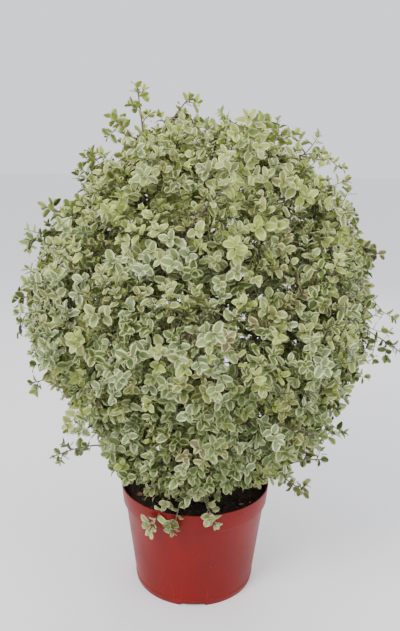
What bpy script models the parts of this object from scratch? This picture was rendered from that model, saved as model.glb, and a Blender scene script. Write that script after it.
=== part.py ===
# A variegated kohuhu in its nursery pot: pot, soil, short stem, boughs and masses of foliage.
# Metres, +Z up. The origin is the middle of the pot's flat underside, and -Y faces the viewer.

import math
import random
from collections import namedtuple

import bmesh
import bpy
import numpy as np
from mathutils import Matrix, Vector

# Clearance between pieces that meet
GAP = 0.0003
GOLDEN_ANGLE = math.pi * (3 - math.sqrt(5))
UP = Vector((0, 0, 1))
SEED = 7

# Pot
POT_HEIGHT = 0.220
RIM_RADIUS = 0.1555
BASE_RADIUS = 0.1245
WALL = 0.0022
FLOOR = 0.003
COLLAR_HEIGHT = 0.038
COLLAR_DRAFT = 0.0035
COLLAR_STEP = 0.005
RIM_ROUND = 0.001
FOOT_HEIGHT = 0.012
FOOT_STEP = 0.001
POT_SIDES = 40
NOTCHES = 4
NOTCH_WIDTH = 0.050
NOTCH_DEPTH = 0.016
NOTCH_HEIGHT = 0.007

# Soil and stem
SOIL_TOP = 0.195
TRUNK_TOP = 0.285
TRUNK_RADIUS = 0.0145
TRUNK_TOP_RADIUS = 0.0135
TRUNK_FLARE = 0.0075
TRUNK_FLARE_HEIGHT = 0.012
TRUNK_LEAN = (0.004, -0.003)
TRUNK_SIDES = 10
TRUNK_STATIONS = (0.4, 0.7, 1.0)

# The crown's outline: height, reach to the left and reach to the right
OUTLINE = (
    (0.200, 0.130, 0.135),
    (0.260, 0.170, 0.200),
    (0.340, 0.225, 0.270),
    (0.460, 0.290, 0.325),
    (0.580, 0.345, 0.355),
    (0.700, 0.325, 0.340),
    (0.800, 0.265, 0.295),
    (0.880, 0.185, 0.235),
    (0.940, 0.100, 0.150),
    (0.975, 0.000, 0.000),
)
# Front and back reach less than the sides by this share
DEPTH_LOSS = 0.04
# Lobes swell the front and the back by this share, so many round the crown and turning with height
LOBE = 0.035
LOBES = 3
LOBE_TWIST = 9
# Shoots grow away from this point on the axis
HEART = Vector((0, 0, 0.40))

# A tier of foliage masses, each on its own bough. The share is of the crown's reach at that height,
# and the stems point away from the core height on the axis. The foot is a height on the stem, or a
# share of the carrying bough's length, and every second bough's foot is a step further along.
Tier = namedtuple("Tier", "name count height share turn core carrier foot step root tip")
TIERS = (
    Tier("top", 3, 0.865, 0.44, 80, 0.66, "trunk", TRUNK_TOP, 0, 0.0055, 0.0030),
    Tier("middle", 6, 0.585, 0.70, 20, 0.46, "trunk", 0.252, 0.016, 0.0046, 0.0028),
    Tier("low", 5, 0.290, 0.76, 262, 0.262, "trunk", 0.224, 0.008, 0.0038, 0.0026),
    Tier("high", 5, 0.735, 0.66, 52, 0.60, "top", 0.46, 0.12, 0.0036, 0.0026),
    Tier("side", 6, 0.420, 0.72, 50, 0.36, "middle", 0.24, 0.08, 0.0036, 0.0026),
)
SITE_TURN_JITTER = 6
SITE_HEIGHT_JITTER = 0.012
LEADER_SPREAD = 0.0080
# How far inside its own space a mass's stem begins
CELL_ENTRY = 0.012
ENTRY_SHARES = (0.30, 0.95)
ENTRY_STEPS = 66
LIMB_SIDES = 6
LIMB_STATIONS = (0.0, 0.07, 0.25, 0.50, 0.75, 1.0)
# A limb's root is thicker by this share, and it thins by this power of what is left of its length
LIMB_SWELL = 0.15
LIMB_THINNING = 0.85
# How far a limb holds its first and its last direction, as shares of the way
LIMB_PULLS = (0.22, 0.26)
LIMB_SAMPLE = 0.0025

# Tips that stand out of the crown: across, back and up
SHOOTS = (
    (-0.116, -0.010, 1.010),
    (-0.168, 0.020, 0.955),
    (-0.018, -0.020, 0.990),
    (0.047, 0.030, 0.955),
    (0.116, -0.015, 0.955),
    (0.160, 0.035, 0.930),
    (0.226, -0.010, 0.895),
    (-0.293, -0.020, 0.790),
    (-0.332, 0.015, 0.720),
    (-0.348, -0.030, 0.615),
    (-0.365, 0.010, 0.550),
    (-0.332, -0.020, 0.435),
    (-0.300, 0.010, 0.260),
    (0.280, 0.010, 0.795),
    (0.352, -0.015, 0.705),
    (0.412, 0.000, 0.505),
    (0.310, 0.015, 0.420),
    (0.265, -0.020, 0.275),
    (0.237, 0.010, 0.180),
    (-0.128, -0.125, 0.200),
    (-0.085, -0.158, 0.190),
    (-0.040, -0.172, 0.195),
    (0.040, -0.168, 0.210),
)
# More of them, spread over the front and the back by up to so many degrees either way
EXTRA_SHOOTS = 12
EXTRA_SPREAD = 52
EXTRA_LOW = 0.36
EXTRA_HIGH = 0.93
EXTRA_REACH = (0.010, 0.045)

# Twigs grow to tips under the crown's surface, and every so many goes deeper. A tip that can't be
# reached moves towards the middle of its mass by these shares.
TIPS = 104
TIP_INSET = (0.040, 0.080)
INNER_EVERY = 7
INNER_INSET = (0.110, 0.170)
TIP_FROM = 0.235
TIP_TO = 0.972
TIP_STEPS = (0, 0.15, 0.30)
BAND_STEPS = 200
# A skirt of more tips round the crown's foot
SKIRT_TIPS = 9
SKIRT_HEIGHT = 0.300
SKIRT_SHARE = 0.86
STEM_SIDES = 5
STEM_RADIUS = 0.0027
STEM_TIP_RADIUS = 0.0025
# A stem goes on past its mass's site by this share of its length, or less where its space ends
STEM_PAST_SITE = 0.25
STEM_BACK_STEP = 0.2
TWIG_RADIUS = 0.0028
TWIG_TIP_RADIUS = 0.0024
TWIG_SIDES = 3
TWIG_CLEAR = 0.0012
TWIG_STEPS = 10
# A twig leaves the stem behind its tip by this share of its way out, within a stretch of the stem
BRANCHING_BACK = 0.6
BRANCHING_FROM = 0.12
BRANCHING_TO = 0.97

# Leaves: flat diamonds of eight faces, over twice life size, so that the crown isn't thin
LEAF_LENGTH = 0.090
LEAF_WIDTH = 0.064
LEAF_THICKNESS = 0.0030
LEAF_SPREAD = (0.86, 1.06)
LEAF_SUNK = 0.0002
LEAF_CLEAR = 0.0012
LEAF_PAST_REACH = 1.03
# For each leaf from the tip inwards: distance back from the tip, and angle from the twig
LEAF_STEPS = ((0.004, 38), (0.012, 66), (0.030, 74), (0.056, 80))
LEAF_BACK_MOST = 0.8
LEAF_FACE_UP = 0.5
LEAF_TRIES = 9
LEAF_SWING = math.radians(28)
LEAF_SHRINK = 0.05
# Leaves on shoots that stand out are this size, and their twigs end that much of a leaf short
SHOOT_LEAF_SCALE = 0.50
SHOOT_SHORT = 0.9
LEAF_EDGE_STEPS = 5
CELL_MARGIN = 0.001

Limb = namedtuple("Limb", "name points radii first last")
Mass = namedtuple("Mass", "name site entry heading planes")
Leaf = namedtuple("Leaf", "matrix inverse scale corners edges")

# Finishes: colour, roughness
FINISHES = {
    "pot_plastic": ((0.42, 0.035, 0.025), 0.45),
    "soil_mix": ((0.025, 0.018, 0.013), 0.95),
    "bark": ((0.10, 0.075, 0.060), 0.85),
    "foliage": ((0.36, 0.42, 0.20), 0.60),
}


def clear_scene():
    for old in list(bpy.data.objects):
        bpy.data.objects.remove(old, do_unlink=True)


def make_finishes():
    made = {}
    for name, (colour, roughness) in FINISHES.items():
        material = bpy.data.materials.new(name)
        material.use_nodes = True
        shader = material.node_tree.nodes["Principled BSDF"]
        shader.inputs["Base Color"].default_value = (*colour, 1)
        shader.inputs["Roughness"].default_value = roughness
        made[name] = material
    return made


def add_object(name, bm, material):
    bmesh.ops.recalc_face_normals(bm, faces=bm.faces)
    mesh = bpy.data.meshes.new(name)
    bm.to_mesh(mesh)
    bm.free()
    mesh.materials.append(material)
    made = bpy.data.objects.new(name, mesh)
    bpy.context.scene.collection.objects.link(made)
    return made


# Pot and soil


def turned(profile):
    """A solid of revolution about +Z. The profile starts and ends on the axis."""
    bm = bmesh.new()
    points = [bm.verts.new((radius, 0, height)) for radius, height in profile]
    edges = [bm.edges.new(pair) for pair in zip(points, points[1:])]
    bmesh.ops.spin(
        bm,
        geom=points + edges,
        cent=(0, 0, 0),
        axis=UP,
        angle=math.tau,
        steps=POT_SIDES,
        use_merge=True,
    )
    bmesh.ops.remove_doubles(bm, verts=bm.verts, dist=0.00001)
    return bm


def collar_base():
    return POT_HEIGHT - COLLAR_HEIGHT


def collar_radius(height):
    return RIM_RADIUS - COLLAR_DRAFT * (POT_HEIGHT - height) / COLLAR_HEIGHT


def wall_radius(height):
    """The outside of the tapering wall under the collar."""
    top = collar_radius(collar_base()) - COLLAR_STEP
    return BASE_RADIUS + (top - BASE_RADIUS) * height / collar_base()


def inner_profile(top, shrink):
    """The pot's inside from its floor to a height in the collar, moved inwards by shrink."""
    step = collar_base()
    return [
        (wall_radius(FLOOR) - WALL - shrink, FLOOR + shrink),
        (wall_radius(step) - WALL - shrink, step),
        (collar_radius(step + COLLAR_STEP) - WALL - shrink, step + COLLAR_STEP),
        (collar_radius(top) - WALL - shrink, top),
    ]


def pot_profile():
    outer = [
        (0, 0),
        (BASE_RADIUS - RIM_ROUND, 0),
        (BASE_RADIUS + FOOT_STEP, RIM_ROUND),
        (wall_radius(FOOT_HEIGHT) + FOOT_STEP, FOOT_HEIGHT),
        (wall_radius(FOOT_HEIGHT), FOOT_HEIGHT + FOOT_STEP),
        (wall_radius(collar_base()), collar_base() - COLLAR_STEP / 2),
        (collar_radius(collar_base()), collar_base()),
        (collar_radius(POT_HEIGHT - RIM_ROUND), POT_HEIGHT - RIM_ROUND),
        (collar_radius(POT_HEIGHT) - RIM_ROUND, POT_HEIGHT),
    ]
    inner = inner_profile(POT_HEIGHT, 0)
    return outer + inner[::-1] + [(0, FLOOR)]


def make_notch_cutter(material):
    """One block for each drain notch, across the edge between wall and floor."""
    bm = bmesh.new()
    for index in range(NOTCHES):
        turn = Matrix.Rotation(math.tau * index / NOTCHES - math.pi / 2, 4, "Z")
        place = Matrix.Translation((BASE_RADIUS, 0, 0))
        size = Matrix.Diagonal((2 * NOTCH_DEPTH, NOTCH_WIDTH, 2 * NOTCH_HEIGHT, 1))
        bmesh.ops.create_cube(bm, size=1, matrix=turn @ place @ size)
    cutter = add_object("notch_cutter", bm, material)
    cutter.hide_render = True
    cutter.display_type = "WIRE"
    return cutter


def make_pot(finishes):
    pot = add_object("pot", turned(pot_profile()), finishes["pot_plastic"])
    cut = pot.modifiers.new("notches", "BOOLEAN")
    cut.operation = "DIFFERENCE"
    cut.solver = "EXACT"
    cut.object = make_notch_cutter(finishes["pot_plastic"])
    pot.data.shade_smooth()
    pot.data.set_sharp_from_angle(angle=math.radians(30))


def make_soil(finishes):
    """The root ball fills the pot, a gap clear of it all round."""
    profile = [(0, FLOOR + GAP)] + inner_profile(SOIL_TOP, GAP) + [(0, SOIL_TOP)]
    add_object("soil", turned(profile), finishes["soil_mix"])


# Crown: its reach, its tiers of masses and the tips that the twigs grow to


def reach(height, azimuth):
    heights, left, right = zip(*OUTLINE)
    to_left = float(np.interp(height, heights, left))
    to_right = float(np.interp(height, heights, right))
    across = (to_left + to_right) / 2 + (to_right - to_left) / 2 * math.cos(azimuth)
    lobes = 1 + LOBE * math.sin(LOBES * azimuth + LOBE_TWIST * height) * math.sin(azimuth) ** 2
    return across * (1 - DEPTH_LOSS * math.sin(azimuth) ** 2) * lobes


def on_crown(height, azimuth, share=1.0):
    distance = share * reach(height, azimuth)
    return Vector((distance * math.cos(azimuth), distance * math.sin(azimuth), height))


def past_reach(points):
    """True if a point is further out than leaves on ordinary twigs go."""
    for point in points:
        if point.z > OUTLINE[-1][0]:
            return True
        if point.to_2d().length > reach(point.z, math.atan2(point.y, point.x)) * LEAF_PAST_REACH:
            return True
    return False


def even_heights(count):
    """Heights that share the crown's surface into equal bands."""
    grid = np.linspace(TIP_FROM, TIP_TO, BAND_STEPS)
    radius = np.array([reach(height, math.pi / 2) for height in grid])
    band = radius * np.hypot(np.gradient(radius, grid), 1)
    total = np.cumsum(band)
    return np.interp((np.arange(count) + 0.5) / count * total[-1], total, grid)


def tier_sites():
    """(tier, index, site) of every mass."""
    draw = random.Random(SEED)
    found = []
    for tier in TIERS:
        for index in range(tier.count):
            turn = tier.turn + 360 * index / tier.count
            turn += draw.uniform(-SITE_TURN_JITTER, SITE_TURN_JITTER)
            height = tier.height + draw.uniform(-SITE_HEIGHT_JITTER, SITE_HEIGHT_JITTER)
            found.append((tier, index, on_crown(height, math.radians(turn), tier.share)))
    return found


def planes_between(site, others):
    """The walls of a mass's own space: a unit normal and how far out each wall lies along it."""
    found = []
    for other in others:
        normal = (other - site).normalized()
        found.append((*normal, normal.dot((site + other) / 2) - CELL_MARGIN))
    return np.array(found)


def inside(points, planes):
    return bool((np.asarray(points) @ planes[:, :3].T <= planes[:, 3]).all())


def entry_to(site, origin, planes):
    """The point nearest to the origin, on the way to the site, that lies well inside the space."""
    tight = planes - np.array((0, 0, 0, CELL_ENTRY))
    for share in np.linspace(*ENTRY_SHARES, ENTRY_STEPS):
        point = origin.lerp(site, float(share))
        if inside([point], tight):
            return point
    return site


def make_masses():
    sites = tier_sites()
    masses = []
    for tier, index, site in sites:
        others = [other for _, _, other in sites if other is not site]
        planes = planes_between(site, others)
        entry = entry_to(site, Vector((0, 0, tier.core)), planes)
        heading = (site - entry).normalized()
        masses.append(Mass(f"foliage_{tier.name}_{index + 1}", site, entry, heading, planes))
    return sites, masses


def shoot_tips():
    """The tips that stand out, with the named ones first."""
    draw = random.Random(SEED + 1)
    tips = [Vector(shoot) for shoot in SHOOTS]
    for index in range(EXTRA_SHOOTS):
        side = -1 if index % 2 else 1
        turn = side * (90 + draw.uniform(-EXTRA_SPREAD, EXTRA_SPREAD))
        height = EXTRA_LOW + (EXTRA_HIGH - EXTRA_LOW) * (index + 0.5) / EXTRA_SHOOTS
        edge = on_crown(height, math.radians(turn))
        tips.append(edge + (edge - HEART).normalized() * draw.uniform(*EXTRA_REACH))
    return tips


def crown_tips():
    """The tips all round the crown's surface, a little inside it, and a few deep inside."""
    draw = random.Random(SEED + 2)
    tips = []
    for index, height in enumerate(even_heights(TIPS)):
        edge = on_crown(float(height), index * GOLDEN_ANGLE)
        depth = draw.uniform(*(INNER_INSET if index % INNER_EVERY == 0 else TIP_INSET))
        tips.append(edge - (edge - HEART).normalized() * depth)
    for index in range(SKIRT_TIPS):
        tips.append(on_crown(SKIRT_HEIGHT, math.tau * (index + 0.5) / SKIRT_TIPS, SKIRT_SHARE))
    return tips


# Limbs: smooth tapering tubes


def bezier(start, start_pull, end_pull, end, share):
    rest = 1 - share
    return (
        start * rest**3
        + start_pull * (3 * rest**2 * share)
        + end_pull * (3 * rest * share**2)
        + end * share**3
    )


def ring_frames(points, first, last):
    """One frame for each point, with +Z along the path and no twist between neighbours."""
    side = first.orthogonal().normalized()
    frames = []
    for index, point in enumerate(points):
        if index == 0:
            along = first
        elif index == len(points) - 1:
            along = last
        else:
            along = (points[index + 1] - points[index - 1]).normalized()
        side = (side - along * side.dot(along)).normalized()
        frame = Matrix((side, along.cross(side), along)).transposed().to_4x4()
        frames.append(Matrix.Translation(point) @ frame)
    return frames


def tube(points, radii, sides, first, last):
    """A closed tapering tube with a flat cap at each end."""
    bm = bmesh.new()
    rings = []
    for frame, radius in zip(ring_frames(points, first, last), radii):
        ring = bmesh.ops.create_circle(bm, radius=radius, segments=sides, matrix=frame)
        rings.append(ring["verts"])
    for lower, upper in zip(rings, rings[1:]):
        for index in range(sides):
            bm.faces.new((lower[index - 1], lower[index], upper[index], upper[index - 1]))
    bm.faces.new(rings[0])
    bm.faces.new(rings[-1])
    return bm


def limb_path(start, first, mass):
    """A curve to where the mass begins, that ends half turned to the mass's own heading."""
    chord = mass.entry - start
    last = (chord.normalized() + mass.heading).normalized()
    pulls = [chord.length * pull for pull in LIMB_PULLS]
    handles = (start + first * pulls[0], mass.entry - last * pulls[1])
    points = [bezier(start, *handles, mass.entry, share) for share in LIMB_STATIONS]
    return points, last


def limb_radii(root, tip):
    radii = [tip + (root - tip) * (1 - share) ** LIMB_THINNING for share in LIMB_STATIONS]
    radii[0] = root * (1 + LIMB_SWELL)
    return radii


def trunk_limb():
    lean = Vector((*TRUNK_LEAN, 0))
    foot = Vector((0, 0, SOIL_TOP + GAP))
    height = TRUNK_TOP - foot.z
    rises = [0, TRUNK_FLARE_HEIGHT / 2, TRUNK_FLARE_HEIGHT]
    rises += [height * share for share in TRUNK_STATIONS]
    radii = []
    for rise in rises:
        flare = TRUNK_FLARE * max(0, 1 - rise / TRUNK_FLARE_HEIGHT) ** 2
        taper = TRUNK_RADIUS + (TRUNK_TOP_RADIUS - TRUNK_RADIUS) * rise / height
        radii.append(taper + flare)
    points = [foot + UP * rise + lean * (rise / height) ** 2 for rise in rises]
    return Limb("trunk", points, radii, UP, UP)


def along_limb(limb, share):
    """Where a limb is at a share of its length, its direction there and its radius."""
    lengths = [(b - a).length for a, b in zip(limb.points, limb.points[1:])]
    left = share * sum(lengths)
    for index, length in enumerate(lengths):
        if left <= length or index == len(lengths) - 1:
            break
        left -= length
    a, b = limb.points[index : index + 2]
    part = min(left / length, 1)
    radius = limb.radii[index] + (limb.radii[index + 1] - limb.radii[index]) * part
    return a.lerp(b, part), (b - a).normalized(), radius


def bough_name(mass):
    return "bough_" + mass.name.removeprefix("foliage_")


def bough_from_side(carrier, share, mass, tier):
    """A bough that leaves its carrier square to it, then turns to where its mass begins."""
    point, along, radius = along_limb(carrier, share)
    out = mass.entry - point
    out = (out - along * out.dot(along)).normalized()
    points, last = limb_path(point + out * (radius + GAP), out, mass)
    return Limb(bough_name(mass), points, limb_radii(tier.root, tier.tip), out, last)


def leader(trunk, mass, tier):
    """A bough that goes on upwards from the stem's flat top."""
    toward = Vector((mass.site.x, mass.site.y, 0)).normalized()
    start = trunk.points[-1] + toward * LEADER_SPREAD + UP * GAP
    points, last = limb_path(start, UP, mass)
    radii = limb_radii(tier.root, tier.tip)
    radii[0] = tier.root
    return Limb(bough_name(mass), points, radii, UP, last)


def nearest_carrier(mass, carriers):
    flat = Vector((mass.site.x, mass.site.y))
    return max(carriers, key=lambda limb: flat.dot(limb.points[-1].to_2d().normalized()))


def make_boughs(sites, masses, trunk):
    """One limb for each mass, in the masses' order."""
    boughs = []
    for (tier, index, _), mass in zip(sites, masses):
        foot = tier.foot + tier.step * (index % 2)
        if tier.name == "top":
            limb = leader(trunk, mass, tier)
        elif tier.carrier == "trunk":
            ground = trunk.points[0].z
            limb = bough_from_side(trunk, (foot - ground) / (TRUNK_TOP - ground), mass, tier)
        else:
            carriers = [bough for bough in boughs if tier.carrier in bough.name]
            limb = bough_from_side(nearest_carrier(mass, carriers), foot, mass, tier)
        boughs.append(limb)
    return boughs


# Clearance from limbs and pot


def limb_samples(limbs):
    """Points every few millimetres along the limbs, each with the limb's radius there."""
    rows = []
    for limb in limbs:
        pairs = zip(limb.points, limb.points[1:], limb.radii, limb.radii[1:])
        for a, b, wide, narrow in pairs:
            steps = max(2, int((b - a).length / LIMB_SAMPLE))
            for step in range(steps + 1):
                share = step / steps
                rows.append((*a.lerp(b, share), wide + (narrow - wide) * share))
    return np.array(rows)


def hits_pot(points, margin):
    """True if a point is in the wall, the collar or the soil, or closer to them than margin."""
    points = np.asarray(points)
    radius = np.hypot(points[:, 0], points[:, 1])
    height = points[:, 2]
    inner = wall_radius(collar_base()) - WALL
    in_wall = (height < POT_HEIGHT + margin) & (radius > inner - margin) & (radius < RIM_RADIUS + margin)
    in_soil = (height < SOIL_TOP + margin) & (radius < RIM_RADIUS)
    return bool((in_wall | in_soil).any())


def path_hits_limb(points, radius, samples, clear):
    points = np.asarray(points)
    apart = np.linalg.norm(points[:, None, :] - samples[None, :, :3], axis=2)
    return bool((apart < samples[None, :, 3] + radius + clear).any())


def leaf_hits_limb(leaf, samples):
    """Tests the leaf's diamond, grown by each limb's radius, in the leaf's own frame."""
    back = np.array(leaf.matrix.normalized().inverted())
    local = samples[:, :3] @ back[:3, :3].T + back[:3, 3]
    grown = samples[:, 3] + LEAF_CLEAR
    half_length, half_width = LEAF_LENGTH * leaf.scale / 2, LEAF_WIDTH * leaf.scale / 2
    corner = grown * math.sqrt(2)
    beside = np.abs(local[:, 2] - half_length) / (half_length + corner)
    across = np.abs(local[:, 0]) / (half_width + corner)
    facing = np.abs(local[:, 1]) < LEAF_THICKNESS / 2 + grown
    return bool(((beside + across < 1) & facing).any())


# Foliage


def diamond_leaf():
    """A thin double pyramid along +Z, with its root at the origin and its flat sides to -Y and +Y."""
    bm = bmesh.new()
    bmesh.ops.create_uvsphere(bm, u_segments=4, v_segments=2, radius=0.5)
    size = (LEAF_WIDTH, LEAF_THICKNESS, LEAF_LENGTH)
    bmesh.ops.scale(bm, vec=size, verts=bm.verts)
    bmesh.ops.translate(bm, vec=(0, 0, LEAF_LENGTH / 2), verts=bm.verts)
    mesh = bpy.data.meshes.new("leaf")
    bm.to_mesh(mesh)
    bm.free()
    return mesh


def leaf_corners(matrix):
    half_width, half_thick = LEAF_WIDTH / 2, LEAF_THICKNESS / 2
    middle = LEAF_LENGTH / 2
    corners = (
        (0, 0, 0),
        (0, 0, LEAF_LENGTH),
        (half_width, 0, middle),
        (-half_width, 0, middle),
        (0, half_thick, middle),
        (0, -half_thick, middle),
    )
    return [matrix @ Vector(corner) for corner in corners]


def leaf_matrix(point, along, turn, angle, scale):
    """Places a leaf on a twig: turned round it, leaning out by the angle, with its face up the twig."""
    side = along.orthogonal().normalized()
    side = Matrix.Rotation(turn, 3, along) @ side
    axis = (along * math.cos(angle) + side * math.sin(angle)).normalized()
    face = along + UP * LEAF_FACE_UP
    face = (face - axis * face.dot(axis)).normalized()
    across = face.cross(axis)
    turned_to = Matrix((across, face, axis)).transposed().to_4x4()
    root = point - axis * LEAF_SUNK
    return Matrix.Translation(root) @ turned_to @ Matrix.Scale(scale, 4)


def crosses(a, b, leaf):
    """True if the line from a to b passes through the leaf's diamond."""
    a, b = leaf.inverse @ a, leaf.inverse @ b
    if a.y * b.y > 0:
        return False
    point = a.lerp(b, a.y / (a.y - b.y)) if a.y != b.y else a
    beside = abs(point.x) / (LEAF_WIDTH / 2)
    return beside + abs(point.z - LEAF_LENGTH / 2) / (LEAF_LENGTH / 2) < 1


def leaves_cross(one, other):
    return any(crosses(a, b, other) for a, b in one.edges) or any(
        crosses(a, b, one) for a, b in other.edges
    )


def stem_of(mass, bough):
    start = bough.points[-1] + bough.last * GAP
    span = (mass.site - start).length
    end = mass.site + mass.heading * span * STEM_PAST_SITE
    while not inside([end], mass.planes - np.array((0, 0, 0, STEM_RADIUS))):
        end = end.lerp(mass.site, STEM_BACK_STEP)
    return start, end


def twig_root(start, end, tip):
    """Where a twig leaves its stem, back from the tip so that it grows forwards."""
    axis = (end - start).normalized()
    along = (tip - start).dot(axis)
    away = (tip - start - axis * along).length
    place = along - away * BRANCHING_BACK
    length = (end - start).length
    return start + axis * min(max(place, length * BRANCHING_FROM), length * BRANCHING_TO)


def twig_fits(start, end, mass, samples):
    points = [start.lerp(end, step / TWIG_STEPS) for step in range(TWIG_STEPS + 1)]
    if not inside(points, mass.planes - np.array((0, 0, 0, TWIG_RADIUS))):
        return False
    if hits_pot(points, TWIG_RADIUS + TWIG_CLEAR):
        return False
    return not path_hits_limb(points, TWIG_RADIUS, samples, TWIG_CLEAR)


def placed_leaf(matrix, scale):
    corners = leaf_corners(matrix)
    edges = [(corners[a], corners[b]) for a in (0, 1) for b in (2, 3)]
    return Leaf(matrix, matrix.inverted(), scale, corners, edges)


def leaf_fits(leaf, own, mass, samples, twigs, leaves):
    if not inside(leaf.corners, mass.planes):
        return False
    if leaf.scale > SHOOT_LEAF_SCALE * LEAF_SPREAD[1] and past_reach(leaf.corners):
        return False
    lines = leaf.edges + [(leaf.corners[0], leaf.corners[1])]
    shares = np.linspace(0, 1, LEAF_EDGE_STEPS)
    grid = [a.lerp(b, float(share)) for a, b in lines for share in shares]
    if hits_pot(grid, LEAF_THICKNESS / 2 + LEAF_CLEAR):
        return False
    if leaf_hits_limb(leaf, samples):
        return False
    if any(crosses(*twig, leaf) for twig in twigs if twig is not own):
        return False
    return not any(leaves_cross(leaf, other) for other in leaves)


def grow_leaves(draw, twig, size, mass, samples, twigs, leaves):
    """Leaves from the tip inwards, each a golden angle on from the last and turned or shrunk to fit."""
    start, end = twig
    length = (end - start).length
    along = (end - start).normalized()
    turn = draw.uniform(0, math.tau)
    grown = 0
    for back, angle in LEAF_STEPS:
        turn += GOLDEN_ANGLE
        scale = size * draw.uniform(*LEAF_SPREAD)
        if back > length * LEAF_BACK_MOST:
            break
        for attempt in range(LEAF_TRIES):
            swing = LEAF_SWING * ((attempt + 1) // 2) * (-1) ** attempt
            tried = scale * (1 - LEAF_SHRINK * attempt)
            root = end - along * back
            matrix = leaf_matrix(root, along, turn + swing, math.radians(angle), tried)
            leaf = placed_leaf(matrix, tried)
            if leaf_fits(leaf, twig, mass, samples, twigs, leaves):
                leaves.append(leaf)
                grown += 1
                break
    return grown


def fuse(base, others, finish):
    """Joins pieces into the base by one Boolean, and keeps the one outer shell."""
    group = bpy.data.collections.new("fusing")
    bpy.context.scene.collection.children.link(group)
    for piece in others:
        group.objects.link(piece)
    join = base.modifiers.new("fuse", "BOOLEAN")
    join.operation = "UNION"
    join.operand_type = "COLLECTION"
    join.collection = group
    join.solver = "EXACT"
    graph = bpy.context.evaluated_depsgraph_get()
    fused = bpy.data.meshes.new_from_object(base.evaluated_get(graph))
    base.modifiers.clear()
    fused.materials.clear()
    fused.materials.append(finish)
    base.data = fused
    for piece in others:
        bpy.data.objects.remove(piece, do_unlink=True)
    bpy.data.collections.remove(group)
    keep_outer_shell(base.data)


def shells_of(bm):
    """Lists of faces that hang together."""
    left = set(bm.faces)
    found = []
    while left:
        start = left.pop()
        shell, queue = [start], [start]
        while queue:
            for edge in queue.pop().edges:
                for face in edge.link_faces:
                    if face in left:
                        left.remove(face)
                        shell.append(face)
                        queue.append(face)
        found.append(shell)
    return found


def shell_volume(shell):
    total = 0.0
    for face in shell:
        first, *rest = [vert.co for vert in face.verts]
        total += sum(first.dot(a.cross(b)) for a, b in zip(rest, rest[1:]))
    return total / 6


def keep_outer_shell(mesh):
    """Fills hollows that fusing sealed, and drops scraps: only the largest shell stays."""
    bm = bmesh.new()
    bm.from_mesh(mesh)
    shells = sorted(shells_of(bm), key=shell_volume)
    spare = [face for shell in shells[:-1] for face in shell]
    bmesh.ops.delete(bm, geom=spare, context="FACES")
    bm.to_mesh(mesh)
    bm.free()


def grow_twigs(mass, tips, shoots, stem, samples):
    """(twig, leaf size) for each tip that a straight twig reaches, at once or after a step inwards."""
    found = []
    for tip in shoots + tips:
        shoot = tip in shoots
        size = SHOOT_LEAF_SCALE if shoot else 1.0
        for step in TIP_STEPS:
            near = tip.lerp(mass.site, step)
            root = twig_root(*stem, near)
            if shoot:
                near = near - (near - root).normalized() * LEAF_LENGTH * size * SHOOT_SHORT
            if twig_fits(root, near, mass, samples):
                found.append(((root, near), size))
                break
    return found


def make_mass(mass, bough, tips, shoots, samples, leaf, finishes):
    draw = random.Random(mass.name)
    finish = finishes["foliage"]
    ends = stem_of(mass, bough)
    radii = (STEM_RADIUS, STEM_TIP_RADIUS)
    bm = tube(ends, radii, STEM_SIDES, bough.last, mass.heading)
    stem = add_object(mass.name, bm, finish)
    pieces, leaves = [], []
    grown = grow_twigs(mass, tips, shoots, ends, samples)
    twigs = [twig for twig, _ in grown] + [ends]
    for twig, size in grown:
        if not grow_leaves(draw, twig, size, mass, samples, twigs, leaves):
            continue
        along = (twig[1] - twig[0]).normalized()
        bm = tube(twig, (TWIG_RADIUS, TWIG_TIP_RADIUS), TWIG_SIDES, along, along)
        pieces.append(add_object("twig", bm, finish))
    for placed in leaves:
        copy = bpy.data.objects.new("leaf", leaf)
        copy.matrix_world = placed.matrix
        pieces.append(copy)
    fuse(stem, pieces, finish)


def share_tips(tips, masses):
    """Each tip goes to the mass whose site is nearest."""
    shared = {mass.name: [] for mass in masses}
    for tip in tips:
        owner = min(masses, key=lambda mass: (mass.site - tip).length)
        shared[owner.name].append(tip)
    return shared


def make_plant(finishes):
    sites, masses = make_masses()
    trunk = trunk_limb()
    boughs = make_boughs(sites, masses, trunk)
    for limb in [trunk] + boughs:
        sides = TRUNK_SIDES if limb is trunk else LIMB_SIDES
        bm = tube(limb.points, limb.radii, sides, limb.first, limb.last)
        add_object(limb.name, bm, finishes["bark"])
    samples = limb_samples([trunk] + boughs)
    tips = share_tips(crown_tips(), masses)
    shoots = share_tips(shoot_tips(), masses)
    leaf = diamond_leaf()
    for mass, bough in zip(masses, boughs):
        own = (tips[mass.name], shoots[mass.name])
        make_mass(mass, bough, *own, samples, leaf, finishes)


def main():
    clear_scene()
    finishes = make_finishes()
    make_pot(finishes)
    make_soil(finishes)
    make_plant(finishes)


main()
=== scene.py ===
import math
import random
from collections import namedtuple

import bmesh
import bpy
import numpy as np
from mathutils import Matrix, Vector, noise


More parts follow.
